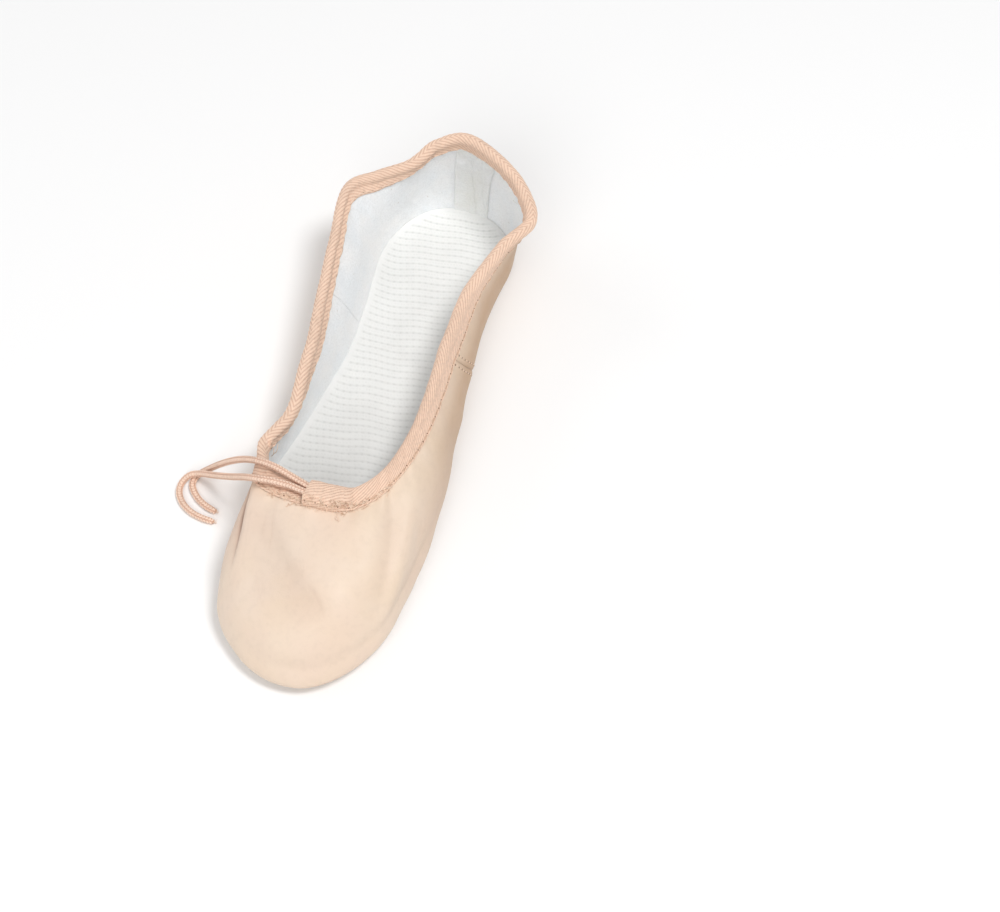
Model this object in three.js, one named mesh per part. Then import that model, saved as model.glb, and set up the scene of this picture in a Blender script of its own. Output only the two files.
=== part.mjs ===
// A soft leather ballet slipper: full sole, bound topline, drawstring with two free tails.
// Millimetres, +Z up. The toe points along -Y, the heel along +Y, and the sole rests on Z = 0.
import * as THREE from 'three';
import { NURBSCurve } from 'three/addons/curves/NURBSCurve.js';

// ---- Driving dimensions ------------------------------------------------------------------
const GAP = 0.3; // air left between neighbouring pieces
const OUTSOLE_T = 1.4;
const LEATHER_T = 0.9;
const LINING_T = 0.5;
const BOARD_T = 0.8;
const PAD_T = 1.2;
const SOCK_T = 0.6;
const MARGIN = 8; // width of the upper's edge turned in under the foot
const EDGE_DROP = 4.1; // from the binding's ridge down to the raw edge of the leather
const LEG_DROP = 9.7; // from the ridge down to just below the binding's outer leg
const CORD_D = 2.4;
const CORD_SIDES = 8;
const CORD_STEPS = 28;
const THREAD_R = 0.25;
const CENTRE = [3.0, -1.3]; // moves the middle of the slipper's box over the origin

// How finely the upper is cut up: columns round the foot and rows up the wall.
const COLUMNS = 60;
const ROWS = 11;
const LEFT_SEAM = 15; // column of the side seam on the -X side
const RIGHT_SEAM = 47; // column of the side seam on the +X side
const SEAM_GAP = 0.03; // half of the gap at a seam, in columns

// ---- Shape of the upper ------------------------------------------------------------------
// Stations run from the heel seam round the -X side, over the toe and back along the +X side.
// Each holds the sole line (x, y), the binding's ridge (x, y, z), then how far the wall bulges
// past the sole line, the height of that bulge, and how strongly the wall domes over (0 to 1).
const STATIONS = [
  [[1, 111], [3.5, 118, 54.5], 7, 18, 0],
  [[-11, 108], [-10.5, 114.5, 51.5], 7, 18, 0],
  [[-19, 99], [-18, 105.5, 47.5], 6, 16, 0],
  [[-22, 87], [-32, 98.5, 44], 7, 14, 0],
  [[-22, 70], [-43, 87.5, 43.5], 7, 13, 0],
  [[-20, 50], [-42, 64, 39], 7, 12, 0],
  [[-19, 28], [-38.5, 36, 35.5], 8, 12, 0],
  [[-21, 2], [-34.5, 5, 34], 10, 12, 0],
  [[-27, -24], [-32, -16, 31.5], 9, 12, 0.1],
  [[-33, -50], [-37.5, -32, 31.5], 8, 12, 0.4],
  [[-34, -74], [-31, -43, 32.5], 9, 12, 0.8],
  [[-27, -98], [-20, -47.5, 34], 8, 12, 0.95],
  [[-10, -110], [-9, -48.5, 34.5], 8, 11, 1],
  [[8, -106], [2, -47, 35], 8, 12, 0.95],
  [[21, -84], [10.5, -37.5, 35], 8, 13, 0.8],
  [[26, -52], [15.5, -21, 35], 8, 13, 0.35],
  [[24, -18], [18, 0, 36], 9, 13, 0.05],
  [[19, 18], [18, 26, 37], 9, 13, 0],
  [[18, 50], [20, 52, 37.5], 8, 13, 0],
  [[20, 78], [29, 77, 41], 7, 13, 0],
  [[21, 95], [38, 90, 44.5], 7, 14, 0],
  [[14, 107], [26.5, 106.5, 49.5], 7, 17, 0],
];

const MARGIN_Z = OUTSOLE_T + GAP; // underside of the turned-in edge
const LINING_D = -(LEATHER_T + GAP); // depth of the lining's outer face below the leather's
const INNER_D = LINING_D - LINING_T; // depth of the lining's inner face

const closedCurve = (points) => new THREE.CatmullRomCurve3(points, true, 'catmullrom', 0.5);
const soleLine = closedCurve(STATIONS.map(([sole]) => new THREE.Vector3(sole[0], sole[1], MARGIN_Z)));
const ridgeLine = closedCurve(STATIONS.map(([, ridge]) => new THREE.Vector3(...ridge)));
const formLine = closedCurve(STATIONS.map(([, , ...form]) => new THREE.Vector3(...form)));

// The level direction out of the foot at the sole line.
function outwardAt(u) {
  const step = 0.001;
  const along = soleLine.getPoint((u + step) % 1).sub(soleLine.getPoint((u - step + 1) % 1));
  return new THREE.Vector3(-along.y, along.x, 0).normalize().negate();
}

// The wall's profile at u: in along the turned-under edge, round the bulge and up to the ridge.
function wallProfile(u) {
  const sole = soleLine.getPoint(u);
  const ridge = ridgeLine.getPoint(u);
  const { x: bulge, y: height, z: crown } = formLine.getPoint(u);
  const out = outwardAt(u);
  const side = (distance, z) => sole.clone().addScaledVector(out, distance).setZ(z);
  const waist = side(bulge, height);
  const towardsRidge = (across, up) => new THREE.Vector3(
    THREE.MathUtils.lerp(waist.x, ridge.x, across),
    THREE.MathUtils.lerp(waist.y, ridge.y, across),
    THREE.MathUtils.lerp(height, ridge.z, up),
  );
  const controls = [
    side(-MARGIN, MARGIN_Z),
    side(0, MARGIN_Z),
    side(0.75 * bulge, MARGIN_Z + 0.3),
    side(1.12 * bulge, 0.8 * height),
    towardsRidge(0.18 + 0.1 * crown, 0.38 + 0.36 * crown),
    towardsRidge(0.55 + 0.05 * crown, 0.7 + 0.22 * crown),
    ridge,
  ].map((p) => new THREE.Vector4(p.x, p.y, p.z, 1));
  return new NURBSCurve(3, [0, 0, 0, 0, 0.25, 0.5, 0.75, 1, 1, 1, 1], controls);
}

// The profile's parameter at a distance measured down the wall from the ridge.
function parameterBelowRidge(profile, distance) {
  const step = 0.002;
  let t = 1;
  let walked = 0;
  let last = profile.getPoint(t);
  while (walked < distance) {
    t -= step;
    const next = profile.getPoint(t);
    walked += next.distanceTo(last);
    last = next;
  }
  return t;
}

// One column of the wall: its points and outward normals, row 0 under the foot, row ROWS on top.
function wallColumn(index) {
  const u = index / COLUMNS;
  const step = 0.002;
  const profile = wallProfile(u);
  const before = wallProfile((u - step + 1) % 1);
  const after = wallProfile((u + step) % 1);
  const topRow = parameterBelowRidge(profile, EDGE_DROP);
  const legRow = parameterBelowRidge(profile, LEG_DROP);
  const points = [];
  const normals = [];
  for (let row = 0; row <= ROWS; row += 1) {
    const t = row === ROWS ? topRow : (legRow * row) / (ROWS - 1);
    const around = after.getPoint(t).sub(before.getPoint(t));
    const up = profile.getPoint(t + step).sub(profile.getPoint(Math.max(0, t - step)));
    points.push(profile.getPoint(t));
    normals.push(around.cross(up).normalize());
  }
  return { points, normals };
}

const columns = Array.from({ length: COLUMNS }, (_, index) => wallColumn(index));
const columnAt = (index) => columns[((index % COLUMNS) + COLUMNS) % COLUMNS];

// A point of the wall at fractional column and row, moved out along the normal by depth.
function wallPoint(column, row, depth) {
  const c = Math.floor(column);
  const r = Math.min(Math.floor(row), ROWS - 1);
  const corner = (i, j) => columnAt(i).points[j].clone().addScaledVector(columnAt(i).normals[j], depth);
  const low = corner(c, r).lerp(corner(c + 1, r), column - c);
  const high = corner(c, r + 1).lerp(corner(c + 1, r + 1), column - c);
  return low.lerp(high, row - r);
}

// A point near the topline, by its distance down from the ridge and its depth off the leather.
function toplinePoint(column, drop, depth) {
  const onColumn = (i) => {
    const { points, normals } = columnAt(i);
    const up = points[ROWS].clone().sub(points[ROWS - 1]).normalize();
    return points[ROWS].clone().addScaledVector(up, EDGE_DROP - drop).addScaledVector(normals[ROWS], depth);
  };
  const c = Math.floor(column);
  return onColumn(c).lerp(onColumn(c + 1), column - c);
}

// ---- Mesh helpers ------------------------------------------------------------------------
// Builds a geometry from shared points and triangles, facing out whichever way it was wound.
function closedGeometry(points, triangles) {
  let volume = 0;
  for (const [a, b, c] of triangles) {
    volume += points[a].dot(points[b].clone().cross(points[c]));
  }
  const faces = volume > 0 ? triangles : triangles.map(([a, b, c]) => [a, c, b]);
  const geometry = new THREE.BufferGeometry();
  geometry.setAttribute('position', new THREE.Float32BufferAttribute(points.flatMap((p) => p.toArray()), 3));
  geometry.setIndex(faces.flat());
  geometry.computeVertexNormals();
  return geometry;
}

// Every whole column from first to last, with the two ends kept as given.
function columnRange(first, last) {
  const list = [first];
  for (let c = Math.floor(first) + 1; c < last; c += 1) {
    list.push(c);
  }
  list.push(last);
  return list;
}

// A thin sheet that follows the wall between two depths.
function wallSheet(columnList, rowList, outerDepth, innerDepth) {
  const across = rowList.length;
  const points = [];
  for (const depth of [outerDepth, innerDepth]) {
    for (const column of columnList) {
      for (const row of rowList) {
        points.push(wallPoint(column, row, depth));
      }
    }
  }
  const layer = columnList.length * across;
  const at = (side, i, j) => side * layer + i * across + j;
  const triangles = [];
  const quad = (a, b, c, d) => triangles.push([a, b, c], [a, c, d]);
  for (let i = 0; i + 1 < columnList.length; i += 1) {
    for (let j = 0; j + 1 < across; j += 1) {
      quad(at(0, i, j), at(0, i + 1, j), at(0, i + 1, j + 1), at(0, i, j + 1));
      triangles.push([at(1, i, j), at(1, i + 1, j + 1), at(1, i + 1, j)]);
      triangles.push([at(1, i, j), at(1, i, j + 1), at(1, i + 1, j + 1)]);
    }
    quad(at(1, i, 0), at(1, i + 1, 0), at(0, i + 1, 0), at(0, i, 0));
    quad(at(0, i, across - 1), at(0, i + 1, across - 1), at(1, i + 1, across - 1), at(1, i, across - 1));
  }
  for (let j = 0; j + 1 < across; j += 1) {
    const end = columnList.length - 1;
    quad(at(0, 0, j), at(0, 0, j + 1), at(1, 0, j + 1), at(1, 0, j));
    quad(at(1, end, j), at(1, end, j + 1), at(0, end, j + 1), at(0, end, j));
  }
  return closedGeometry(points, triangles);
}

// Joins rings of points into a bar whose ends are capped with the given outline.
// leansBack says which way each side's squares are split, so that stacked faces stay parallel.
function barThroughRings(rings, capOutline, leansBack = () => false) {
  const count = rings[0].length;
  const triangles = [];
  for (let i = 0; i + 1 < rings.length; i += 1) {
    const next = i + 1;
    for (let k = 0; k < count; k += 1) {
      const turn = (k + 1) % count;
      const [a, b, c, d] = [i * count + k, next * count + k, next * count + turn, i * count + turn];
      triangles.push(...(leansBack(k) ? [[a, b, d], [b, c, d]] : [[a, b, c], [a, c, d]]));
    }
  }
  const clockwise = THREE.ShapeUtils.isClockWise(capOutline);
  const last = (rings.length - 1) * count;
  for (const [a, b, c] of THREE.ShapeUtils.triangulateShape(capOutline, [])) {
    triangles.push(clockwise ? [a, c, b] : [a, b, c]);
    triangles.push(clockwise ? [last + a, last + b, last + c] : [last + a, last + c, last + b]);
  }
  return closedGeometry(rings.flat(), triangles);
}

// A bar along the topline whose section is given as [drop, depth] pairs at each column.
function toplineBar(columnList, sectionAt) {
  const rings = columnList.map((c) => sectionAt(c).map(([drop, depth]) => toplinePoint(c, drop, depth)));
  const section = sectionAt(columnList[0]);
  const cap = section.map(([drop, depth]) => new THREE.Vector2(drop, depth));
  const leansBack = (k) => section[k][0] < section[(k + 1) % section.length][0];
  return barThroughRings(rings, cap, leansBack);
}

function roundSection(drop, depth, radius, sides) {
  return Array.from({ length: sides }, (_, k) => {
    const angle = (2 * Math.PI * (k + 0.5)) / sides;
    return [drop + radius * Math.cos(angle), depth + radius * Math.sin(angle)];
  });
}

// A flat layer of the sole whose outline is the sole line moved out by offset.
function soleLayer(offset, thickness) {
  const outline = columns.map((_, index) => {
    const u = index / COLUMNS;
    const p = soleLine.getPoint(u).addScaledVector(outwardAt(u), offset);
    return new THREE.Vector2(p.x, p.y);
  });
  return new THREE.ExtrudeGeometry(new THREE.Shape(outline), { depth: thickness, bevelEnabled: false });
}

function cordAlong(points) {
  const circle = roundSection(0, 0, CORD_D / 2, CORD_SIDES);
  const section = new THREE.Shape(circle.map((p) => new THREE.Vector2(...p)));
  const route = new THREE.CatmullRomCurve3(points.map((p) => new THREE.Vector3(...p)));
  return new THREE.ExtrudeGeometry(section, { steps: CORD_STEPS, extrudePath: route, bevelEnabled: false });
}

// ---- Materials ---------------------------------------------------------------------------
const finish = (color, roughness) => () => new THREE.MeshStandardMaterial({ color, roughness, metalness: 0 });
const leather = finish(0xeed9c6, 0.45);
const suede = finish(0xcdb6a2, 0.95);
const tape = finish(0xe6b899, 0.8);
const braid = finish(0xe8bfa6, 0.75);
const napped = finish(0xe3e9ed, 0.95);
const ribbed = finish(0xf1f1ef, 0.9);
const board = finish(0xb79c7c, 0.9);
const foam = finish(0xf2e9d2, 0.95);
const felt = finish(0xb9b2a8, 1.0);
const thread = finish(0xf0d6c2, 0.6);

const slipper = new THREE.Group();
slipper.position.set(CENTRE[0], CENTRE[1], 0);

function add(name, geometry, material, z = 0) {
  const mesh = new THREE.Mesh(geometry, material());
  mesh.name = name;
  mesh.position.z = z;
  slipper.add(mesh);
}

// ---- Sole, from the floor up ---------------------------------------------------------------
const fillerZ = MARGIN_Z;
const fillerT = LEATHER_T + GAP + LINING_T;
const boardZ = fillerZ + fillerT + GAP;
const padZ = boardZ + BOARD_T + GAP;
const sockZ = padZ + PAD_T + GAP;
add('outsole', soleLayer(-1, OUTSOLE_T), suede);
add('lasting_filler', soleLayer(-MARGIN - 2 * GAP, fillerT), felt, fillerZ);
add('insole_board', soleLayer(-0.5, BOARD_T), board, boardZ);
add('insole_pad', soleLayer(1.2, PAD_T), foam, padZ);
add('sock_lining', soleLayer(2.2, SOCK_T), ribbed, sockZ);

// ---- Upper and lining ----------------------------------------------------------------------
const allRows = Array.from({ length: ROWS + 1 }, (_, row) => row);
const PANELS = {
  quarter_left: [SEAM_GAP, LEFT_SEAM - SEAM_GAP],
  vamp: [LEFT_SEAM + SEAM_GAP, RIGHT_SEAM - SEAM_GAP],
  quarter_right: [RIGHT_SEAM + SEAM_GAP, COLUMNS - SEAM_GAP],
};
for (const [name, [first, last]] of Object.entries(PANELS)) {
  const span = columnRange(first, last);
  add(name, wallSheet(span, allRows, 0, -LEATHER_T), leather);
  add(`${name}_lining`, wallSheet(span, allRows, LINING_D, INNER_D), napped);
}

// The tape that covers the heel seam inside, from just below the binding down to the sock.
const HEEL_TAPE_HALF = 0.55; // in columns
const HEEL_TAPE_T = 0.5;
const heelTapeDepth = INNER_D - GAP;
const heelTapeColumns = [COLUMNS - HEEL_TAPE_HALF, COLUMNS, COLUMNS + HEEL_TAPE_HALF];
const heelTapeRows = [4.6, 5, 6, 7, 8, 9, 10];
const heelTape = wallSheet(heelTapeColumns, heelTapeRows, heelTapeDepth, heelTapeDepth - HEEL_TAPE_T);
add('heel_seam_tape', heelTape, napped);

// ---- Binding with its drawstring channel ---------------------------------------------------
// Sections as [drop, depth] pairs: down the outer leg, over the ridge and down the inner leg,
// then back along the inner face. The pouch is the open end that both tails leave from.
const PLAIN_SECTION = [
  [9.5, 1.0], [4.6, 1.0], [2.3, 1.4], [0.6, 0.7], [0, -0.85], [0.6, -2.4], [2.3, -3.1], [4.6, -2.7],
  [8, -2.7], [8, -2], [4.6, -2], [2.3, -2.45], [1.15, -1.95], [0.7, -0.85], [1.15, 0.25], [2.3, 0.75],
  [4.6, 0.3], [9.5, 0.3],
];
const POUCH_SECTION = [
  [9.7, 5.0], [4.6, 5.0], [1.6, 4.9], [-0.2, 3.0], [-0.4, 0], [0.6, -2.4], [2.3, -3.1], [4.6, -2.7],
  [8, -2.7], [8, -2], [4.6, -2], [2.3, -2.45], [1.15, -1.95], [0.3, 0], [0.5, 2.7], [1.9, 4.3],
  [4.6, 4.3], [9.7, 4.3],
];
const EXIT_COLUMN = 32; // where the tape's open end stops and the tails come out
const POUCH_FULL = 35; // the pouch is full height up to here
const POUCH_END = 39; // and has sunk back to the plain section here
const BUTT_GAP = 0.2; // between the tape's two ends, in columns
const pouchAt = (column) => 1 - THREE.MathUtils.smoothstep(column, POUCH_FULL, POUCH_END);

function bindingSection(column) {
  const pouch = pouchAt(column);
  return PLAIN_SECTION.map(([drop, depth], k) => [
    THREE.MathUtils.lerp(drop, POUCH_SECTION[k][0], pouch),
    THREE.MathUtils.lerp(depth, POUCH_SECTION[k][1], pouch),
  ]);
}
const tapeEnd = EXIT_COLUMN + COLUMNS - BUTT_GAP;
add('topline_binding', toplineBar(columnRange(EXIT_COLUMN, tapeEnd), bindingSection), tape);

// The part of the drawstring that stays inside the channel.
const CHANNEL_DROP = 2.3;
const CHANNEL_DEPTH = -0.85;
const RUN_SIDES = 6;
const runSection = () => roundSection(CHANNEL_DROP, CHANNEL_DEPTH, 0.42 * CORD_D, RUN_SIDES);
add('drawstring_run', toplineBar(columnRange(EXIT_COLUMN + 1.5, tapeEnd - 0.8), runSection), braid);

// The two tails: inside the pouch, out over the left of the throat, down to the floor and curled.
const FLOOR = 1.25; // height of a cord's middle where it lies on the floor
const TAIL_UPPER = [
  [-4.6, -52.9, 36.7], [-9, -51.8, 36.7], [-13.5, -50.7, 36.7], [-21, -48.3, 36.9], [-28, -46, 36.7],
  [-35, -44.4, 35.2], [-42, -42.6, 30.8], [-49.2, -40.2, 22.9], [-56.4, -37.6, 13.2], [-62.2, -36.2, 5.4],
  [-66, -37, 1.9], [-67.8, -39.8, FLOOR], [-67.6, -43.2, FLOOR], [-65.4, -46.4, FLOOR],
  [-62.4, -49, FLOOR], [-58.8, -50.9, FLOOR], [-54.6, -52.2, FLOOR],
];
const TAIL_LOWER = [
  [-4.5, -55.8, 36.8], [-9, -54.7, 36.8], [-13.4, -53.7, 36.8], [-20, -52.6, 36.9], [-26.5, -52.4, 36.9],
  [-32.5, -52.3, 36], [-39, -50.6, 31.7], [-47, -46.4, 21.8], [-54, -43, 14], [-60, -40.5, 8.4],
  [-65, -39.3, 5.2], [-69.4, -40.4, 3.8], [-71.8, -43.8, 2.1], [-71.4, -48, FLOOR],
  [-68.2, -52.2, FLOOR], [-63.6, -55, FLOOR], [-58.8, -56.3, FLOOR], [-53.8, -56.8, FLOOR],
];
add('drawstring_tail_upper', cordAlong(TAIL_UPPER), braid);
add('drawstring_tail_lower', cordAlong(TAIL_LOWER), braid);

// ---- Threads ---------------------------------------------------------------------------------
const THREAD_SIDES = 4;
const THREAD_LIFT = GAP + THREAD_R; // from the cloth's face to the thread's middle
const STITCH_DROP_OUTER = 8.5;
const STITCH_DROP_INNER = 7.1;

function outerStitch(column) {
  const leg = THREE.MathUtils.lerp(PLAIN_SECTION[0][1], POUCH_SECTION[0][1], pouchAt(column));
  return roundSection(STITCH_DROP_OUTER, leg + THREAD_LIFT, THREAD_R, THREAD_SIDES);
}
function innerStitch() {
  return roundSection(STITCH_DROP_INNER, PLAIN_SECTION[8][1] - THREAD_LIFT, THREAD_R, THREAD_SIDES);
}
const stitchColumns = columnRange(EXIT_COLUMN, tapeEnd);
add('binding_thread_outer', toplineBar(stitchColumns, outerStitch), thread);
add('binding_thread_inner', toplineBar(stitchColumns, innerStitch), thread);

// Two rows of stitching beside each seam, from under the binding down to the bulge of the wall.
const SEAM_ROW_OFFSET = 0.22; // in columns, from the seam to each row of stitches
const SEAM_ROW_WIDTH = 0.03;
const SEAM_THREAD_ROWS = [3, 4, 5, 6, 7, 8, 9, 9.8];
function seamThread(column) {
  const sides = [column - SEAM_ROW_WIDTH, column + SEAM_ROW_WIDTH];
  return wallSheet(sides, SEAM_THREAD_ROWS, GAP + 2 * THREAD_R, GAP);
}
const SEAMS = { side_seam_left: LEFT_SEAM, side_seam_right: RIGHT_SEAM, heel_seam: COLUMNS };
for (const [name, column] of Object.entries(SEAMS)) {
  add(`${name}_thread_a`, seamThread(column - SEAM_ROW_OFFSET), thread);
  add(`${name}_thread_b`, seamThread(column + SEAM_ROW_OFFSET), thread);
}

export default slipper;
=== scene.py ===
"""Looks of the ballet slipper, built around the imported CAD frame.

The script works in millimetres in the CAD frame and turns to metres when a mesh is made.
"""
import math

import bpy
import numpy as np
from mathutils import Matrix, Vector


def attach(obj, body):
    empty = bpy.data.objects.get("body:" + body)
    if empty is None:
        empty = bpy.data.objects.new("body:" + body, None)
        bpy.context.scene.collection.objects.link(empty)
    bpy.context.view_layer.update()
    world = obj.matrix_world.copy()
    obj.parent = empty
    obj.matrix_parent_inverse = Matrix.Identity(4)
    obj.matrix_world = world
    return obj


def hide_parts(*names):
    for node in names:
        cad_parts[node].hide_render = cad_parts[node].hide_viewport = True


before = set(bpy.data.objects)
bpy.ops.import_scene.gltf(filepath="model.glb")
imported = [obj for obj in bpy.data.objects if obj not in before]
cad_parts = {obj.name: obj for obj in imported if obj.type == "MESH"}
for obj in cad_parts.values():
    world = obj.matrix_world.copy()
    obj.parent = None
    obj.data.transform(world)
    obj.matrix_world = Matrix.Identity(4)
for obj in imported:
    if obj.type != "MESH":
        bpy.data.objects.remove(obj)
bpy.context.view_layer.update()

MM = 0.001
rng = np.random.default_rng(11)

# ---- Driving dimensions, as in the CAD model
OUTSOLE_T = 1.4
GAP = 0.3
LEATHER_T = 0.9
LINING_D = -1.05  # the lining lies against the leather here
LINING_T = 0.6
MARGIN = 8
MARGIN_Z = OUTSOLE_T + GAP
EDGE_DROP = 4.1
CORD_D = 2.6  # over the braid
COLUMNS = 60  # the CAD model's columns round the foot, used to place things by column
LEFT_SEAM = 15 / COLUMNS
RIGHT_SEAM = 47 / COLUMNS
EXIT = 32 / COLUMNS
CENTRE = np.array([3.0, -1.3, 0.0])

# Sole line (x, y), binding ridge (x, y, z), bulge, height of the bulge, doming.
STATIONS = [
    ((1, 111), (3.5, 118, 54.5), 7, 18, 0),
    ((-11, 108), (-10.5, 114.5, 51.5), 7, 18, 0),
    ((-19, 99), (-18, 105.5, 47.5), 6, 16, 0),
    ((-22, 87), (-32, 98.5, 44), 7, 14, 0),
    ((-22, 70), (-43, 87.5, 43.5), 7, 13, 0),
    ((-20, 50), (-42, 64, 39), 7, 12, 0),
    ((-19, 28), (-38.5, 36, 35.5), 8, 12, 0),
    ((-21, 2), (-34.5, 5, 34), 10, 12, 0),
    ((-27, -24), (-32, -16, 31.5), 9, 12, 0.1),
    ((-33, -50), (-37.5, -32, 31.5), 8, 12, 0.4),
    ((-34, -74), (-31, -43, 32.5), 9, 12, 0.8),
    ((-27, -98), (-20, -47.5, 34), 8, 12, 0.95),
    ((-10, -110), (-9, -48.5, 34.5), 8, 11, 1),
    ((8, -106), (2, -47, 35), 8, 12, 0.95),
    ((21, -84), (10.5, -37.5, 35), 8, 13, 0.8),
    ((26, -52), (15.5, -21, 35), 8, 13, 0.35),
    ((24, -18), (18, 0, 36), 9, 13, 0.05),
    ((19, 18), (18, 26, 37), 9, 13, 0),
    ((18, 50), (20, 52, 37.5), 8, 13, 0),
    ((20, 78), (29, 77, 41), 7, 13, 0),
    ((21, 95), (38, 90, 44.5), 7, 14, 0),
    ((14, 107), (26.5, 106.5, 49.5), 7, 17, 0),
]
STATION_COUNT = len(STATIONS)

# The two tails' routes, as in the CAD model, before CENTRE is added.
FLOOR = 1.25  # height of a tail's centre where it lies on the floor
TAIL_UPPER = [
    (-4.6, -52.9, 36.7), (-9, -51.8, 36.7), (-13.5, -50.7, 36.7), (-21, -48.3, 36.9),
    (-28, -46, 36.7), (-35, -44.4, 35.2), (-42, -42.6, 30.8), (-49.2, -40.2, 22.9),
    (-56.4, -37.6, 13.2), (-62.2, -36.2, 5.4), (-66, -37, 1.9), (-67.8, -39.8, FLOOR),
    (-67.6, -43.2, FLOOR), (-65.4, -46.4, FLOOR), (-62.4, -49, FLOOR), (-58.8, -50.9, FLOOR),
    (-54.6, -52.2, FLOOR),
]
TAIL_LOWER = [
    (-4.5, -55.8, 36.8), (-9, -54.7, 36.8), (-13.4, -53.7, 36.8), (-20, -52.6, 36.9),
    (-26.5, -52.4, 36.9), (-32.5, -52.3, 36), (-39, -50.6, 31.7), (-47, -46.4, 21.8),
    (-54, -43, 14), (-60, -40.5, 8.4), (-65, -39.3, 5.2), (-69.4, -40.4, 3.8),
    (-71.8, -43.8, 2.1), (-71.4, -48, FLOOR), (-68.2, -52.2, FLOOR), (-63.6, -55, FLOOR),
    (-58.8, -56.3, FLOOR), (-53.8, -56.8, FLOOR),
]

# ---- Camera
AZIMUTH = math.radians(15.12)
ELEVATION = math.radians(58)
DISTANCE = 0.7
TARGET = Vector((0.04978, 0.0015, 0))


def make_camera():
    data = bpy.data.cameras.new("camera")
    data.sensor_width = 36
    data.lens = 62.5
    data.clip_start = 0.01
    camera = bpy.data.objects.new("camera", data)
    back = Vector((
        math.sin(AZIMUTH) * math.cos(ELEVATION),
        -math.cos(AZIMUTH) * math.cos(ELEVATION),
        math.sin(ELEVATION),
    ))
    camera.location = TARGET + DISTANCE * back
    camera.rotation_euler = (-back).to_track_quat("-Z", "Y").to_euler()
    bpy.context.collection.objects.link(camera)
    bpy.context.scene.camera = camera


make_camera()


# ---- Small maths
def smooth(x, low, high):
    x = np.clip((np.asarray(x, float) - low) / (high - low), 0, 1)
    return x * x * (3 - 2 * x)


def window(x, a, b, c, d):
    """Rises from a to b and falls from c to d."""
    return smooth(x, a, b) * (1 - smooth(x, c, d))


def unit(v):
    return v / np.maximum(np.linalg.norm(v, axis=-1, keepdims=True), 1e-12)


def cubic(a, b, c, d, f):
    return 0.5 * (2 * b + (c - a) * f + (2 * a - 5 * b + 4 * c - d) * f**2 + (3 * b - a - 3 * c + d) * f**3)


def closed_spline(keys, u):
    keys = np.asarray(keys, float)
    x = (u % 1.0) * len(keys)
    i = np.floor(x).astype(int)
    f = (x - i)[:, None]
    return cubic(*(keys[(i + k) % len(keys)] for k in (-1, 0, 1, 2)), f)


def open_spline(keys, per_span):
    """A smooth line through the keys, with per_span points for each stretch between two."""
    keys = np.asarray(keys, float)
    padded = np.vstack([2 * keys[0] - keys[1], keys, 2 * keys[-1] - keys[-2]])
    x = np.linspace(0, len(keys) - 1, (len(keys) - 1) * per_span + 1)
    i = np.minimum(x.astype(int), len(keys) - 2)
    f = (x - i)[:, None]
    return cubic(*(padded[i + k] for k in range(4)), f)


def walked_along(path):
    """How far along the path each of its points is."""
    return np.concatenate([[0], np.cumsum(np.linalg.norm(np.diff(path, axis=0), axis=1))])


def even_steps(path, step):
    """The same path with its points the same distance apart."""
    walked = walked_along(path)
    at = np.linspace(0, walked[-1], max(3, int(round(walked[-1] / step)) + 1))
    return np.stack([np.interp(at, walked, path[:, k]) for k in range(path.shape[1])], axis=1)


def ripples(points, size, count, seed):
    """A gentle random field between about -1 and 1, with humps of about the given size."""
    local = np.random.default_rng(seed)
    total = np.zeros(points.shape[:-1])
    for _ in range(count):
        direction = unit(local.normal(size=3)) * (2 * math.pi / (size * local.uniform(0.7, 1.6)))
        total += np.sin(points @ direction + local.uniform(0, 2 * math.pi))
    return total / math.sqrt(count)


# ---- The wall of the upper
def spline_weights(t):
    """Weights of the seven control points of a clamped cubic B-spline at each t."""
    knots = np.array([0, 0, 0, 0, 0.25, 0.5, 0.75, 1, 1, 1, 1])
    t = np.clip(t, 0, 1 - 1e-9)
    basis = [((t >= knots[i]) & (t < knots[i + 1])).astype(float) for i in range(10)]
    for degree in (1, 2, 3):
        for i in range(10 - degree):
            left = knots[i + degree] - knots[i]
            right = knots[i + degree + 1] - knots[i + 1]
            value = (t - knots[i]) / left * basis[i] if left else 0
            if right:
                value = value + (knots[i + degree + 1] - t) / right * basis[i + 1]
            basis[i] = value
    return np.stack(basis[:7], axis=1)


def sole_line(u):
    """Points of the sole line at each u, and the directions straight out from it."""
    keys = [s[0] for s in STATIONS]
    eps = 0.001
    along = closed_spline(keys, u + eps) - closed_spline(keys, u - eps)
    return closed_spline(keys, u), unit(np.stack([along[:, 1], -along[:, 0]], axis=1))


def plain_wall(u, t):
    """The smooth wall, the same as in the CAD model: points for each u and t."""
    sole, out = sole_line(u)
    ridge = closed_spline([s[1] for s in STATIONS], u)
    bulge, height, crown = closed_spline([s[2:] for s in STATIONS], u).T[:, :, None]

    def side(distance, z):
        return np.hstack([sole + out * distance, np.broadcast_to(z, (len(u), 1))])

    waist = side(bulge, height)

    def towards_ridge(across, up):
        xy = waist[:, :2] + (ridge[:, :2] - waist[:, :2]) * across
        return np.hstack([xy, height + (ridge[:, 2:] - height) * up])

    controls = np.stack([
        side(-MARGIN, MARGIN_Z),
        side(0, MARGIN_Z),
        side(0.75 * bulge, MARGIN_Z + 0.3),
        side(1.12 * bulge, 0.8 * height),
        towards_ridge(0.18 + 0.1 * crown, 0.38 + 0.36 * crown),
        towards_ridge(0.55 + 0.05 * crown, 0.7 + 0.22 * crown),
        ridge,
    ], axis=1)
    return np.einsum("tk,ukc->utc", spline_weights(t), controls) + CENTRE


def wall_normals(points):
    around = np.roll(points, -1, axis=0) - np.roll(points, 1, axis=0)
    up = np.gradient(points, axis=1)
    return unit(np.cross(around, up))


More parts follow.
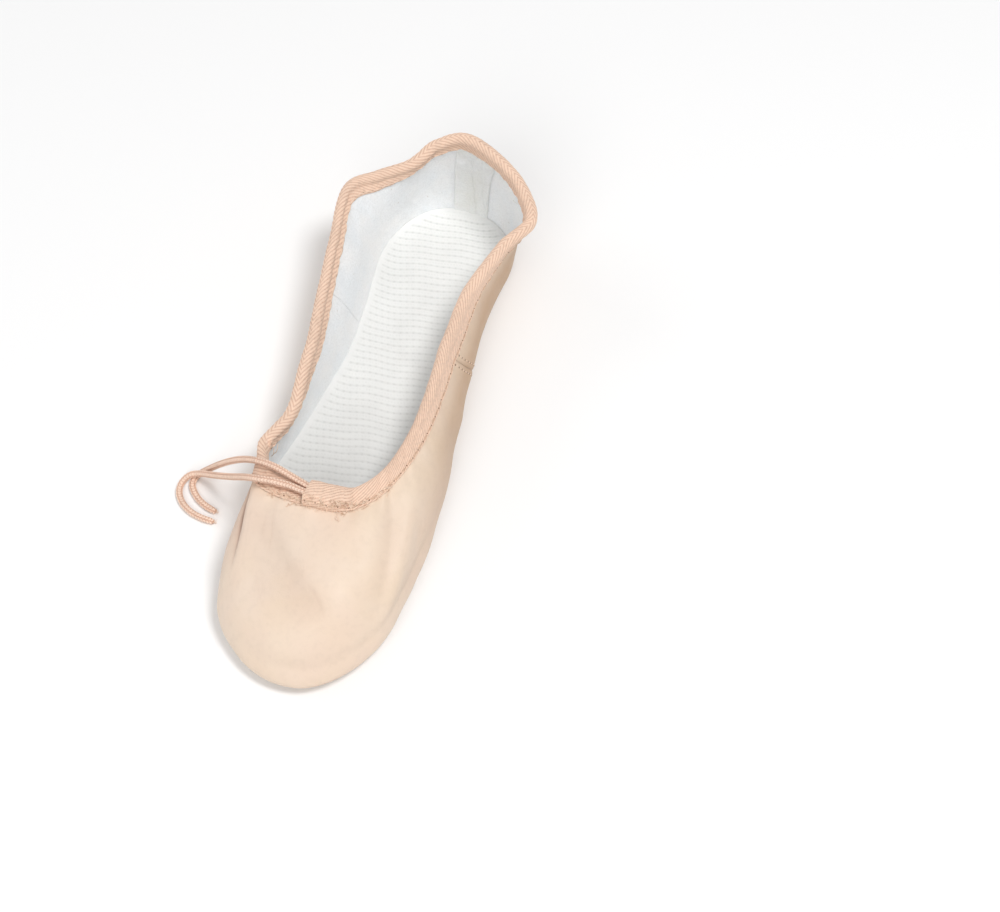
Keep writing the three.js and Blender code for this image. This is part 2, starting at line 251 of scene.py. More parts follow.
def drops_below_ridge(points):
    steps = np.linalg.norm(np.diff(points, axis=1), axis=2)
    return np.hstack([np.cumsum(steps[:, ::-1], axis=1)[:, ::-1], np.zeros((len(points), 1))])


# Folds and swellings of the leather: half widths on the -X and +X sides, then points
# (x, y, z, height in mm). A height below zero is a valley. Sharp ones come to a line in the middle.
SOFT_FOLDS = {
    "vamp_hollow": (12, 6.5, [
        (-25, -58, 32, -0.5), (-22, -67, 32, -1.6), (-16, -77, 31, -2.5), (-9, -86, 30, -2.4),
        (-1, -94, 27, -1.4), (6, -101, 22, 0),
    ]),
    "vamp_plateau": (4.6, 17, [
        (-17, -62, 33, 0.4), (-13.5, -70.5, 32, 1.0), (-8.0, -78, 31.6, 1.6), (-1.4, -83, 31, 1.8),
        (5.4, -88, 29.8, 1.5), (10.5, -92.4, 27.7, 1.0), (13.6, -96, 25, 0.5), (16, -101, 21, 0),
    ]),
    "right_valley": (4.5, 3.2, [
        (19.8, -34.7, 33.5, -0.3), (20.5, -40.8, 32.8, -0.6), (21.6, -49.1, 31.9, -0.9),
        (24, -58.5, 30.1, -1.0), (25.7, -68.1, 27.7, -1.0), (26.8, -76.8, 24.3, -0.8),
        (26.5, -84.3, 21.3, -0.4), (25.5, -91, 18, 0),
    ]),
    "right_ridge": (3.6, 5.0, [
        (26.1, -27, 30.2, 0), (27.3, -35.6, 28.9, 0.7), (28, -44.1, 28, 1.4), (28.9, -52.8, 26.7, 1.7),
        (29.9, -62.5, 24.5, 1.7), (30.2, -72.9, 21.5, 1.5), (29.7, -83.1, 17.4, 1.0),
        (28.1, -92.1, 13.4, 0.5), (25, -99, 10, 0),
    ]),
    "left_shoulder": (3.0, 6.0, [
        (-31.5, -50, 30.5, 0.6), (-30, -60, 29.5, 1.1), (-28.5, -70, 28, 0.9), (-26, -84, 26, 0),
    ]),
    "left_hollow": (8, 8, [
        (-37, -42, 24, -0.4), (-38, -52, 20, -2.2), (-39.5, -64, 16, -3.2), (-39.7, -75, 12, -2.0),
        (-37.5, -87, 12, -0.8), (-33, -97, 12, 0),
    ]),
    "right_side": (10, 10, [
        (31, 8, 14, 0), (32, -4, 14, -1.5), (34, -18, 14, -2.0), (36, -31, 13, -2.0),
        (36.8, -42.6, 12.4, -1.8), (36.3, -57.8, 10.9, -1.7), (34.8, -71, 10.3, -1.7),
        (31, -87, 10, 0),
    ]),
    "quarter_left_sag": (9, 9, [
        (-35, 40, 20, 0), (-36, 62, 26, -1.0), (-36, 84, 30, 0),
    ]),
    "quarter_right_sag": (8, 8, [
        (26, 46, 24, 0), (29, 62, 26, -0.9), (33, 80, 30, 0),
    ]),
}
SHARP_FOLDS = {
    "left_crease": (3.4, 1.4, [
        (-37, -40, 28.6, -2.8), (-36, -47, 28.5, -3.3), (-35.2, -55, 28.3, -3.4),
        (-34.3, -62.7, 28, -3.4), (-33.3, -68.5, 27.6, -3.0), (-32.4, -74, 26.9, -2.2),
        (-31.5, -80, 25.4, -1.2), (-30.6, -87, 23, 0),
    ]),
    "hollow_end": (1.6, 1.6, [
        (0, -87, 30, 0), (4.0, -90.5, 29, -0.35), (8.0, -94.5, 26.5, -0.4), (11, -98.5, 24, 0),
    ]),
    "wrinkle_a": (0.7, 0.7, [
        (-20.6, -60, 32.8, 0), (-19.8, -67, 32.2, -0.22), (-18.4, -74, 31.4, -0.2),
        (-18, -80, 30.5, 0),
    ]),
    "wrinkle_b": (0.7, 0.7, [
        (-23.4, -62, 32, 0), (-22.8, -69, 31.5, -0.2), (-21.6, -76, 30.8, 0),
    ]),
    "wrinkle_c": (0.7, 0.7, [
        (-21, -84, 29.4, 0), (-19, -90, 27.6, -0.18), (-15.6, -96.5, 25.4, -0.15),
        (-13, -100, 23.5, 0),
    ]),
    "wrinkle_d": (0.6, 0.6, [
        (-17.6, -86, 29.4, 0), (-16.2, -91.5, 27.6, -0.16), (-14, -95.5, 26, 0),
    ]),
    "wrinkle_e": (0.6, 0.6, [
        (3.5, -89, 29.5, 0), (8, -94, 27, -0.25), (10.5, -98.5, 24.6, 0),
    ]),
    "wrinkle_f": (0.6, 0.6, [
        (6.5, -88, 29.5, 0), (11, -93.2, 26.8, -0.22), (13, -98, 24, 0),
    ]),
}


def line_field(points, line):
    """Distance from each point to the line, minus on its -X side, and the line's height there."""
    line = even_steps(open_spline(line, 6), 1.5)
    best = np.full(points.shape[:-1], np.inf)
    height = np.zeros(points.shape[:-1])
    side = np.ones(points.shape[:-1])
    for a, b in zip(line[:-1], line[1:]):
        d = b[:3] - a[:3]
        f = np.clip(((points - a[:3]) @ d) / (d @ d), 0, 1)
        gap = points - a[:3] - f[..., None] * d
        distance = np.einsum("...k,...k->...", gap, gap)
        closer = distance < best
        best = np.where(closer, distance, best)
        height = np.where(closer, a[3] + (b[3] - a[3]) * f, height)
        side = np.where(closer, np.sign(d[0] * gap[..., 1] - d[1] * gap[..., 0]), side)
    return np.sqrt(best) * side, height


def soft_bell(r):
    return np.exp(-r * r)


def sharp_bell(r):
    return np.exp(-1.4 * np.sqrt(r * r + 0.02))


SOFT_SHADE, SOFT_SHADE_MOST = 0.055, 0.15  # painted shade: how much darker a soft valley gets for each mm, and at most
SHARP_SHADE, SHARP_SHADE_MOST = 0.33, 0.95  # the same painted shade for a sharp one


def add_folds(relief, shade, points):
    """Adds the folds to the relief, and painted shade in their valleys to the shade."""
    for folds, shape in ((SOFT_FOLDS, soft_bell), (SHARP_FOLDS, sharp_bell)):
        for left, right, line in folds.values():
            keys = np.array(line, float)
            reach = 4 * max(left, right)
            low = keys[:, :3].min(axis=0) - reach
            high = keys[:, :3].max(axis=0) + reach
            inside = np.all((points > low) & (points < high), axis=-1)
            distance, height = line_field(points[inside], line)
            bell = shape(distance / np.where(distance < 0, left, right))
            relief[inside] += height * bell
            if folds is SOFT_FOLDS:
                # painted shade in a soft valley: the deeper the valley, the darker
                shade[inside] += np.clip(-SOFT_SHADE * height, 0, SOFT_SHADE_MOST) * bell
            else:
                # painted shade along the middle of a sharp crease, and on the strip beyond it on its -X side
                middle = np.exp(-np.abs(distance) / (0.4 + 0.16 * np.abs(height)))
                beyond = 0.28 * np.exp(-((distance / 5.5) ** 2)) * (distance < 0)
                shade[inside] += np.clip(-SHARP_SHADE * height, 0, SHARP_SHADE_MOST) * (middle + beyond)


PLEAT_PITCH = 3.7
RIM_LOW = 6.5  # height of the rounded rim round the toe
RIM_VALLEY = 13.0  # height of the shallow groove above it


def leather_relief(points, station, drop, along_sole, along_ridge):
    """How far the leather stands out from the plain wall, in mm, and the painted shade of its creases,
    valleys, pleats and turned-in edge.
    """
    relief = 0.28 * ripples(points, 34, 7, 3) + 0.10 * ripples(points, 12, 9, 4)
    shade = np.zeros(relief.shape)
    add_folds(relief, shade, points)
    from_edge = drop[:, :1] - drop  # distance out from the turned-in raw edge
    toe = window(station, 9.3, 10.4, 13.8, 14.8)
    rim = window(station, 11.2, 12.6, 14.6, 15.6)
    height = points[..., 2]
    on_top = smooth(from_edge, 12, 16)
    relief += rim * on_top * (0.95 * np.exp(-((height - RIM_LOW) / 2.6) ** 2))
    relief -= rim * on_top * (0.85 * np.exp(-((height - RIM_VALLEY) / 2.6) ** 2))
    # Pleats where the leather is gathered under the toe, and smaller ones under the heel.
    heel = np.clip(window(station, 20.2, 21.4, 30, 31) + 1 - smooth(station, 0.6, 1.8), 0, 1)
    gathers = toe + 0.5 * heel
    jitter = 0.9 * np.sin(along_sole / 9.3) + 0.6 * np.sin(along_sole / 4.1 + 1)
    pleat = 1 - np.abs(np.cos(math.pi * (along_sole + jitter) / PLEAT_PITCH)) ** 0.7
    relief -= 0.95 * gathers * pleat * window(from_edge, 3, 8, 11, 17)
    # Soft gathers that the drawstring pulls into the topline.
    pull = np.sin(2 * math.pi * along_ridge / 8.6 + 1.2 * np.sin(along_ridge / 21))
    pull = pull + 0.6 * np.sin(2 * math.pi * along_ridge / 5.2 + 2)
    throat = window(station, 9.6, 10.6, 13.6, 15)
    relief += (0.10 + 0.12 * throat) * pull * np.exp(-((drop - 9) / 7) ** 2)
    # Painted shade: darker towards the turned-in edge where the leather turns under the sole, and in the
    # pleats' valleys.
    shade += 0.22 * (1 - smooth(from_edge, 7, 13)) + 0.25 * gathers * pleat * window(from_edge, 3, 8, 11, 17)
    return relief, shade


U_STEPS = 1760
T_STEPS = 260
SOLE_ROW = 60  # the row of the wall along which the pleats are spaced
DROP_STEP = 0.4


class Wall:
    """The leather's outer face, looked up by u round the foot and drop down from the ridge."""

    def __init__(self):
        u = np.arange(U_STEPS) / U_STEPS
        points = plain_wall(u, np.linspace(0, 1, T_STEPS))
        station = (u * STATION_COUNT)[:, None]
        drop = drops_below_ridge(points)

        along_sole = walked_along(points[:, SOLE_ROW])[:, None]
        along_ridge = walked_along(points[:, -1])[:, None]
        relief, shade = leather_relief(points, station, drop, along_sole, along_ridge)
        points = points + relief[..., None] * wall_normals(points)
        normals = wall_normals(points)
        drop = drops_below_ridge(points)
        self.depth_of_wall = drop[:, 0]
        marks = np.arange(0, drop.max() + DROP_STEP, DROP_STEP)
        # The seventh column is the painted shade of the folds, pleats and turned-in edge.
        table = np.concatenate([points, normals, shade[..., None]], axis=2)
        self.table = np.stack([
            np.stack([np.interp(marks, d[::-1], row[::-1, k]) for k in range(7)], axis=1)
            for d, row in zip(drop, table)
        ])

    def full_drop(self, u):
        x = (np.asarray(u, float) % 1.0) * U_STEPS
        i = np.floor(x).astype(int) % U_STEPS
        return self.depth_of_wall[i] * (1 - (x % 1)) + self.depth_of_wall[(i + 1) % U_STEPS] * (x % 1)

    def look_up(self, u, drop):
        u, drop = np.broadcast_arrays(np.asarray(u, float), np.asarray(drop, float))
        x = (u % 1.0) * U_STEPS
        y = np.clip(drop / DROP_STEP, 0, self.table.shape[1] - 1.001)
        i = np.floor(x).astype(int) % U_STEPS
        j = np.floor(y).astype(int)
        f = (x % 1)[..., None]
        g = (y - j)[..., None]
        n = (i + 1) % U_STEPS
        low = self.table[i, j] * (1 - f) + self.table[n, j] * f
        high = self.table[i, j + 1] * (1 - f) + self.table[n, j + 1] * f
        value = low * (1 - g) + high * g
        above = np.minimum(drop, 0)[..., None]
        value[..., :3] += above * (high - low)[..., :3] / DROP_STEP
        return value[..., :3], unit(value[..., 3:6]), value[..., 6]

    def at(self, u, drop, depth=0.0):
        """Points at u and drop, moved out along the normal by depth."""
        points, normals, _ = self.look_up(u, drop)
        return points + normals * np.asarray(depth, float)[..., None]


wall = Wall()


# ---- Mesh makers
SHARP_ANGLE = math.radians(55)


def new_object(name, points, faces, cloth=None):
    """A smooth mesh object from points in mm. cloth is three values a point for its material."""
    mesh = bpy.data.meshes.new(name)
    mesh.vertices.add(len(points))
    mesh.vertices.foreach_set("co", (np.asarray(points) * MM).astype(np.float32).ravel())
    if isinstance(faces, list):
        sizes = np.array([len(f) for f in faces])
        corners = np.concatenate([np.asarray(f) for f in faces])
    else:
        sizes = np.full(len(faces), faces.shape[1])
        corners = faces.ravel()
    mesh.loops.add(len(corners))
    mesh.loops.foreach_set("vertex_index", corners.astype(np.int32))
    mesh.polygons.add(len(sizes))
    mesh.polygons.foreach_set("loop_start", np.concatenate([[0], np.cumsum(sizes)[:-1]]).astype(np.int32))
    mesh.polygons.foreach_set("use_smooth", np.ones(len(sizes), bool))
    mesh.update(calc_edges=True)
    mesh.set_sharp_from_angle(angle=SHARP_ANGLE)
    if cloth is not None:
        layer = mesh.attributes.new("cloth", "FLOAT_VECTOR", "POINT")
        layer.data.foreach_set("vector", np.asarray(cloth, np.float32).ravel())
    mesh.validate()
    obj = bpy.data.objects.new(name, mesh)
    bpy.context.collection.objects.link(obj)
    return obj


def signed_volume(points, quads):
    a, b, c, d = (points[quads[:, k]] for k in range(4))
    return np.einsum("ij,ij->", a, np.cross(b, c)) + np.einsum("ij,ij->", a, np.cross(c, d))


def shell(name, outer, inner, cloth=None):
    """A closed sheet between two grids of the same size, facing out."""
    n, m = outer.shape[:2]
    points = np.concatenate([outer.reshape(-1, 3), inner.reshape(-1, 3)])
    index = np.arange(n * m).reshape(n, m)
    back = index + n * m

    def squares(a, b, c, d):
        return np.stack([a.ravel(), b.ravel(), c.ravel(), d.ravel()], axis=1)

    quads = np.concatenate([
        squares(index[:-1, :-1], index[1:, :-1], index[1:, 1:], index[:-1, 1:]),
        squares(back[:-1, :-1], back[:-1, 1:], back[1:, 1:], back[1:, :-1]),
        squares(back[:-1, 0], back[1:, 0], index[1:, 0], index[:-1, 0]),
        squares(index[:-1, -1], index[1:, -1], back[1:, -1], back[:-1, -1]),
        squares(index[0, :-1], index[0, 1:], back[0, 1:], back[0, :-1]),
        squares(back[-1, :-1], back[-1, 1:], index[-1, 1:], index[-1, :-1]),
    ])
    if signed_volume(points, quads) < 0:
        quads = quads[:, ::-1]
    if cloth is not None:
        cloth = np.concatenate([cloth.reshape(-1, 3), cloth.reshape(-1, 3)])
    return new_object(name, points, quads, cloth)


def frames_along(path):
    """Two directions across the path at each point, which turn as little as they can."""
    tangent = unit(np.gradient(path, axis=0))
    first = np.cross(tangent[0], [0.0, 0.0, 1.0])
    if np.linalg.norm(first) < 0.1:
        first = np.cross(tangent[0], [0.0, 1.0, 0.0])
    across = [unit(first)]
    for t in tangent[1:]:
        across.append(unit(across[-1] - t * (across[-1] @ t)))
    across = np.array(across)
    return across, np.cross(tangent, across)


def tube_rings(path, radii):
    """Rings round the path. radii is one radius for each point and side."""
    across, up = frames_along(path)
    angle = 2 * math.pi * np.arange(radii.shape[1]) / radii.shape[1]
    rim = np.cos(angle)[None, :, None] * across[:, None] + np.sin(angle)[None, :, None] * up[:, None]
    return path[:, None] + rim * radii[..., None]


def tubes(name, pieces, clothes=None):
    """One mesh of several closed tubes, each given by its rings."""
    points = []
    faces = []
    cloth = []
    base = 0
    for k, rings in enumerate(pieces):
        n, m = rings.shape[:2]
        index = base + np.arange(n * m).reshape(n, m)
        turned = np.roll(index, -1, axis=1)
        quads = np.stack([index[:-1], turned[:-1], turned[1:], index[1:]], axis=-1).reshape(-1, 4)
        faces += list(quads) + [index[0][::-1], index[-1]]
        points.append(rings.reshape(-1, 3))
        if clothes is not None:
            cloth.append(clothes[k].reshape(-1, 3))
        base += n * m
    cloth = np.concatenate(cloth) if clothes is not None else None
    return new_object(name, np.concatenate(points), faces, cloth)


def thin_tube(path, radius, sides=6, taper=0.0):
    """Rings of a plain thin tube, narrowed at both ends by taper."""
    f = np.linspace(0, 1, len(path))
    ends = 1 - taper * (np.abs(2 * f - 1) ** 6)
    return tube_rings(path, radius * np.repeat(ends[:, None], sides, axis=1))


# ---- Materials
class Shader:
    """A material with a Principled shader and short ways to add nodes to it."""

    def __init__(self, name, color, roughness, sockets):
        self.material = bpy.data.materials.new(name)
        self.material.use_nodes = True
        self.nodes = self.material.node_tree.nodes
        self.links = self.material.node_tree.links
        self.shader = self.nodes["Principled BSDF"]
        self.shader.inputs["Base Color"].default_value = (*color, 1)
        self.shader.inputs["Roughness"].default_value = roughness
        for socket, value in sockets.items():
            self.shader.inputs[socket].default_value = value
        self.place = self.nodes.new("ShaderNodeTexCoord").outputs["Object"]

    def feed(self, socket, value):
        if isinstance(value, bpy.types.NodeSocket):
            self.links.new(value, socket)
        else:
            socket.default_value = value

    def add(self, kind, output, inputs, **settings):
        """A new node with its settings and inputs; gives back the output asked for."""
        node = self.nodes.new("ShaderNode" + kind)
        for setting, value in settings.items():
            setattr(node, setting, value)
        for socket, value in inputs.items():
            self.feed(node.inputs[socket], value)
        return node.outputs[output]

    def scaled(self, vector, scale):
        return self.add("Mapping", "Vector", {"Vector": vector, "Scale": scale})

    def cloth(self):
        return self.add("Attribute", "Vector", {}, attribute_name="cloth")

    def noise(self, scale, detail=2.0, vector=None, distortion=0.0):
        inputs = {"Vector": vector or self.place, "Scale": scale, "Detail": detail, "Distortion": distortion}
        return self.add("TexNoise", "Fac", inputs)

    def cells(self, scale):
        return self.add("TexVoronoi", "Distance", {"Vector": self.place, "Scale": scale})

    def math(self, operation, a, b=0.0):
        return self.add("Math", "Value", {0: a, 1: b, 2: 0.0}, operation=operation)

    def spread(self, *values):
        """A value mapped from one range to another: value, low, high, new low, new high."""
        return self.add("MapRange", "Result", dict(enumerate(values)))

    def part(self, vector, axis):
        return self.add("SeparateXYZ", axis, {"Vector": vector})

    def mix(self, factor, a, b, mode="MIX"):
        a, b = (v if isinstance(v, bpy.types.NodeSocket) else (*v, 1) for v in (a, b))
        return self.add("Mix", 2, {"Factor": factor, 6: a, 7: b}, data_type="RGBA", blend_type=mode)

    def color(self, value):
        self.links.new(value, self.shader.inputs["Base Color"])

    def shaded_color(self, tone, shade):
        """The tone, made darker where shade is below 1."""
        self.color(self.mix(1.0, tone, self.mix(shade, (0, 0, 0), (1, 1, 1)), "MULTIPLY"))

    def rough(self, value):
        self.links.new(value, self.shader.inputs["Roughness"])

    def bump(self, *layers):
        """Each layer is a height, its strength and its depth in metres."""
        last = None
        for height, strength, depth in layers:
            inputs = {"Height": height, "Strength": strength, "Distance": depth}
            if last:
                inputs["Normal"] = last
            last = self.add("Bump", "Normal", inputs)
        self.links.new(last, self.shader.inputs["Normal"])


def leather_material():
    """Reads from cloth the painted shade: how much the quarters are browned, in X, and how dark a crease,
    valley, pleat, seam or turned-in edge is, in Z.
    """
    m = Shader("upper_leather", (0.84, 0.68, 0.56), 0.45, {"Specular IOR Level": 0.4})
    patches = m.spread(m.noise(26, 3, distortion=0.6), 0.35, 0.65, 0, 1)
    blush = m.spread(m.noise(41, 2, m.scaled(m.place, (1, 0.6, 1))), 0.4, 0.7, 0, 1)
    tone = m.mix(patches, (0.80, 0.66, 0.54), (0.79, 0.635, 0.49))
    tone = m.mix(m.math("MULTIPLY", blush, 0.5), tone, (0.77, 0.595, 0.485))
    pores = m.cells(2100)
    mottle = m.spread(m.noise(420, 4), 0.3, 0.7, 0.965, 1.03)
    shade = m.part(m.cloth(), "Z")
    quarter = m.part(m.cloth(), "X")
    # painted shade: the quarters browned and darkened by cloth X
    tone = m.mix(quarter, tone, (0.55, 0.375, 0.245))
    # painted shade of creases, valleys, pleats, seams and the turned-in edge, from cloth Z
    tone = m.mix(shade, tone, (0.28, 0.14, 0.09))
    m.shaded_color(tone, mottle)
    m.rough(m.spread(m.noise(180, 3), 0.3, 0.7, 0.44, 0.56))
    fine = m.noise(1500, 3)
    creases = m.noise(130, 4, m.scaled(m.place, (2.2, 0.7, 1.4)), 0.4)
    m.bump((creases, 0.35, 0.00035), (fine, 0.35, 0.00008), (pores, 0.3, 0.00007))
    return m.material


def tape_material(name, valley, ridge):
    """Woven cotton: yarns that run along the ribs, with painted shade that makes it darker between them."""
    m = Shader(name, ridge, 0.85, {"Sheen Weight": 0.08, "Sheen Roughness": 0.5})
    place = m.cloth()
    along, across, rib = (m.part(place, axis) for axis in "XYZ")
    warp = m.math("SINE", m.math("MULTIPLY", along, 2 * math.pi / 0.42))
    weft = m.math("SINE", m.math("MULTIPLY", across, 2 * math.pi / 0.42))
    weave = m.math("MULTIPLY", warp, weft)
    # painted shade: darker in the valleys between the ribs, or the braid's stitches, read from cloth Z
    tone = m.mix(m.spread(rib, 0.05, 0.8, 0, 1), valley, ridge)
    fade = m.spread(m.noise(55, 3), 0.3, 0.7, 0.93, 1.05)
    specks = m.spread(m.noise(900, 2), 0.3, 0.7, 0.9, 1.08)
    shade = m.math("MULTIPLY", fade, specks)
    m.shaded_color(tone, shade)
    fuzz = m.noise(2600, 3)
    m.bump((weave, 0.45, 0.00009), (fuzz, 0.4, 0.0001))
    return m.material


def lining_material(name, low, high):
    """Brushed cotton with soft patches and a few dark specks."""
    m = Shader(name, high, 0.95, {"Sheen Weight": 0.45, "Sheen Roughness": 0.6})
    soft = m.spread(m.noise(70, 4), 0.35, 0.65, 0, 1)
    tone = m.mix(soft, low, high)
    flecks = m.spread(m.noise(1300, 3), 0.35, 0.7, 0.93, 1.04)
    specks = m.spread(m.noise(520, 2), 0.73, 0.77, 0, 0.45)
    tone = m.mix(specks, tone, (0.52, 0.44, 0.38))
    m.shaded_color(tone, flecks)
    nap = m.noise(1700, 5, m.scaled(m.place, (1, 1, 0.45)), 1.2)
    m.bump((m.noise(240, 3), 0.6, 0.0006), (nap, 1.0, 0.0004))
    return m.material


def sock_material():
    """Ribbed cotton, with painted shade that makes it darker where cloth Z says that a row is sunk."""
    m = Shader("sock_cotton", (0.9, 0.9, 0.88), 0.95, {"Sheen Weight": 0.3, "Sheen Roughness": 0.6})
    rib = m.part(m.cloth(), "Z")
    # painted shade: sunk rows darker
    tone = m.mix(m.spread(rib, 0.0, 1.0, 0, 1), (0.62, 0.625, 0.61), (0.81, 0.815, 0.80))
    wash = m.spread(m.noise(60, 3), 0.35, 0.65, 0.96, 1.03)
    m.shaded_color(tone, wash)
    m.bump((m.noise(2100, 4), 0.6, 0.00014), (m.cells(1500), 0.3, 0.0001))
    return m.material


def thread_material(name, color):
    m = Shader(name, color, 0.6, {"Sheen Weight": 0.2})
    shade = m.spread(m.noise(700, 2), 0.3, 0.7, 0.88, 1.06)
    m.shaded_color(color, shade)
    m.bump((m.noise(5200, 2), 0.5, 0.00006))
    return m.material


def rough_material(name, low, high, size, depth):
    """Suede, felt, foam and board: a mottled matt surface with grain of the given size."""
    m = Shader(name, high, 0.97, {"Sheen Weight": 0.2, "Sheen Roughness": 0.7})
    m.color(m.mix(m.spread(m.noise(size, 4), 0.3, 0.7, 0, 1), low, high))
    m.bump((m.noise(size * 2.5, 4), 0.6, depth))
    return m.material


LEATHER = leather_material()
TAPE = tape_material("binding_tape", (0.60, 0.35, 0.24), (0.91, 0.67, 0.52))
BRAID = tape_material("braided_cord", (0.62, 0.35, 0.24), (0.95, 0.72, 0.58))
LINING = lining_material("napped_lining", (0.89, 0.925, 0.95), (0.95, 0.955, 0.955))
HEEL_TAPE = lining_material("heel_cotton", (0.85, 0.855, 0.82), (0.90, 0.92, 0.925))
SOCK = sock_material()
THREAD = thread_material("sewing_thread", (0.86, 0.66, 0.52))
LIGHT_THREAD = thread_material("frayed_cotton", (0.95, 0.74, 0.58))
BROWN_THREAD = thread_material("brown_thread", (0.66, 0.45, 0.31))
# painted shade: dark pads for the shade inside the needle holes
HOLE_SHADE = rough_material("needle_hole_shade", (0.20, 0.10, 0.05), (0.28, 0.15, 0.08), 900, 0.00005)
SUEDE = rough_material("suede_sole", (0.50, 0.37, 0.27), (0.66, 0.51, 0.39), 500, 0.00025)
FELT = rough_material("felt_filler", (0.40, 0.37, 0.33), (0.52, 0.49, 0.44), 700, 0.0003)
FOAM = rough_material("foam_pad", (0.80, 0.72, 0.55), (0.90, 0.83, 0.67), 800, 0.0002)
BOARD = rough_material("fibre_board", (0.40, 0.28, 0.17), (0.50, 0.37, 0.24), 350, 0.00015)


def dress(obj, material, slot, *nodes, body="slipper"):
    """Gives a piece its material and its body, and hides the CAD nodes that it stands for; slot is not used.
    """
    obj.data.materials.append(material)
    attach(obj, body)
    if nodes:
        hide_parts(*nodes)
    return obj


# ---- Upper and lining
PANELS = {
    "quarter_left": (0.0, LEFT_SEAM),
    "vamp": (LEFT_SEAM, RIGHT_SEAM),
    "quarter_right": (RIGHT_SEAM, 1.0),
}
LEATHER_STEP = 0.0009  # in u: about 0.5 mm
LINING_STEP = 0.002
SEAM_TUCK = 0.0012  # in u: how fast a panel's edge rolls in at its seam
SEAM_LEAN = {LEFT_SEAM: -0.043, RIGHT_SEAM: 0.043}  # the side seams lean forward towards the binding


def seam_u(seam, rise):
    """u of a seam at each rise from the turned-in edge, 0, to the binding, 1."""
    return seam + SEAM_LEAN.get(seam, 0.0) * (0.7 - np.maximum(rise, 0.35))


def drop_at(u, rise):
    full = wall.full_drop(u)
    return full + (EDGE_DROP - full) * rise


def quarter_painted_shade(station, drop):
    """How much painted shade browns and darkens the leather: most on the right side behind the vamp, and low
    on the wall.
    """
    on_right = smooth(station, 14.6, 17.2) * (1 - 0.6 * smooth(station, 24, 30))
    on_left = 0.4 * (1 - smooth(station, 6.5, 9))
    return (on_right + on_left) * (0.35 + 0.65 * smooth(drop, 9, 22))


def panel_grid(first, last, step, rows, outer, thickness, tuck):
    """Outer and inner face of one panel, and its cloth values: the quarters' painted brown shade, drop, and
    the folds' painted shade.
    """
    rise = np.linspace(0, 1, rows)[None, :]
    across = np.linspace(0.0003, 0.9997, int((last - first) / step))[:, None]
    left, right = seam_u(first, rise), seam_u(last, rise)
    u = left + (right - left) * across
    drop = drop_at(u, rise)
    to_seam = np.minimum(u - left, right - u)
    at_seam = np.exp(-((to_seam / SEAM_TUCK) ** 2))
    depth = outer - tuck * at_seam + 0 * drop
    # painted shade where the panel's edge rolls in at its seam
    shade = wall.look_up(u, drop)[2] + 0.3 * tuck * at_seam
    cloth = np.stack([quarter_painted_shade(u * STATION_COUNT, drop), drop, shade], axis=-1)
    return wall.at(u, drop, depth), wall.at(u, drop, depth - thickness), cloth


for panel, (first, last) in PANELS.items():
    grids = panel_grid(first, last, LEATHER_STEP, 190, 0.0, LEATHER_T, 0.4)
    dress(shell(f"{panel}_leather", *grids), LEATHER, "upper_leather", panel)
    grids = panel_grid(first, last, LINING_STEP, 90, LINING_D, LINING_T, 0.0)
    dress(shell(f"{panel}_cotton", *grids), LINING, "napped_lining", f"{panel}_lining")


# ---- Binding
# The tape's outer face as (drop, depth) from the outer leg over the ridge to the inner leg.
INNER_LEG = [
    (2.3, -3.25), (3.4, -3.05), (4.2, -2.55), (4.8, -2.35), (5.6, -2.5), (6.8, -2.6), (7.6, -2.55),
    (8.0, -2.3), (8.0, -1.75),
]
PLAIN_TAPE = [
    (9.55, 0.15), (9.6, 0.6), (9.2, 0.95), (7.6, 1.02), (6.0, 0.98), (4.9, 0.98), (4.2, 1.12), (3.3, 1.5),
    (2.2, 1.62), (1.1, 1.2), (0.35, 0.35), (0.05, -0.85), (0.4, -2.1), (1.2, -2.9), *INNER_LEG,
]
POUCH_TAPE = [
    (9.7, 0.15), (9.75, 0.8), (9.5, 2.2), (8.8, 3.8), (7.6, 4.65), (6.0, 4.75), (4.4, 4.55),
    (2.8, 4.35), (1.2, 4.1), (0.1, 3.2), (-0.3, 1.4), (0.15, -1.0), (1.0, -2.6), *INNER_LEG,
]
POUCH_FULL = 34.1 / COLUMNS  # the pouch is fully open up to here
POUCH_END = 36.3 / COLUMNS  # and the tape is plain again from here on
TAPE_END = EXIT + 1 - 0.2 / COLUMNS
TAPE_T = 0.5
STITCH_DROP = 8.5
TAPE_STEP = 0.0006  # in u: about 0.3 mm
RIB_PITCH = 2.3  # along the tape
RIB_SLANT = 1.7  # how far a rib runs along the tape for each mm across it
RIB_HEIGHT = 0.32
PRESSED_FROM = 0.075  # in u before the tape's end: where the tails begin to lie on it
PRESSED_FULL = 0.06
PRESS_DEPTH = 0.8  # how far the tails press the tape down
BEAD_HALF = 5.0  # the ribs stand out this far to both sides of the fold and are pressed flat beyond


def tape_face(u, profile_points):
    """The tape's outer face in (drop, depth) for each u, opened out to the pouch at its mouth."""
    f = np.linspace(0, 1, profile_points)
    faces = []
    for profile in (PLAIN_TAPE, POUCH_TAPE):
        line = even_steps(open_spline(profile, 8), 0.01)
        share = np.linspace(0, 1, len(line))
        faces.append(np.stack([np.interp(f, share, line[:, k]) for k in (0, 1)], axis=1))
    open_out = (1 - smooth(u, POUCH_FULL, POUCH_END))[:, None, None]
    return faces[0] * (1 - open_out) + faces[1] * open_out


def rib_pattern(along, across):
    """Chevron ribs, mirrored at the fold along the middle of the tape."""
    phase = (along + RIB_SLANT * np.abs(across)) / RIB_PITCH
    return np.abs(np.sin(math.pi * phase)) ** 0.8


